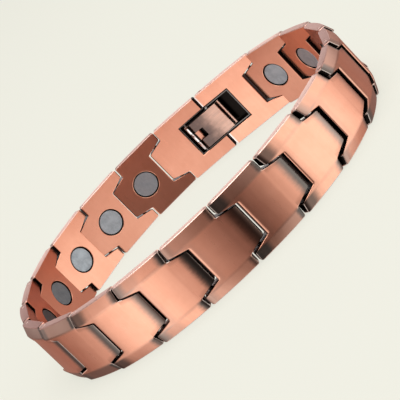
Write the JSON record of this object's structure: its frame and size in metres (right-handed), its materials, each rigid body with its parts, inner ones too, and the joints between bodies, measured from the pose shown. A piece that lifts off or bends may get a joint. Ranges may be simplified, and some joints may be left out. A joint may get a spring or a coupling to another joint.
{
  "type": "magnetic link bracelet",
  "caption": "Closed oval band of pinned flat metal links with round magnets inside and a fold-over clasp whose cover swings open.",
  "frame": {"origin": "on the surface that the band stands on, under the middle of its box", "axes": "+Z across the links, from the edge that the band stands on to the other; +X along the oval's long axis; the clasp is at the back, +Y"},
  "size_m": [0.0768, 0.0722, 0.013],
  "materials": {
    "copper_links": "brushed copper, darkened with a grey-black patina at the joints",
    "magnets": "satin grey, ground flat",
    "steel_pins": "plain drawn steel",
    "clasp_cover": "copper, brushed lengthwise and partly greyed",
    "clasp_hook": "bright brushed copper"
  },
  "bodies": {
    "band": {"link_01": "copper_links", "link_02": "copper_links", "link_03": "copper_links", "link_04": "copper_links", "link_05": "copper_links", "link_06": "copper_links", "link_07": "copper_links", "link_08": "copper_links", "link_09": "copper_links", "link_10": "copper_links", "link_11": "copper_links", "link_12": "copper_links", "link_13": "copper_links", "link_14": "copper_links", "link_15": "copper_links", "link_16": "copper_links", "link_17": "copper_links", "link_18": "copper_links", "link_19": "copper_links", "magnet_01": "magnets", "magnet_02": "magnets", "magnet_03": "magnets", "magnet_04": "magnets", "magnet_05": "magnets", "magnet_06": "magnets", "magnet_07": "magnets", "magnet_08": "magnets", "magnet_09": "magnets", "magnet_10": "magnets", "magnet_11": "magnets", "magnet_12": "magnets", "magnet_13": "magnets", "magnet_14": "magnets", "magnet_15": "magnets", "magnet_16": "magnets", "magnet_17": "magnets", "magnet_18": "magnets", "magnet_19": "magnets", "link_pins": "steel_pins", "clasp_link_a": "copper_links", "clasp_link_b": "copper_links", "clasp_hook": "clasp_hook", "clasp_pin": "steel_pins", "clasp_bar": "steel_pins"},
    "cover": {"clasp_cover": "clasp_cover"}
  },
  "joints": [
    {"name": "cover_hinge", "type": "hinge", "parent": "band", "child": "cover", "pos_m": [0.00349, 0.03344, 0.0065], "axis": [0, 0, -1], "range_deg": [0, 90]}
  ]
}
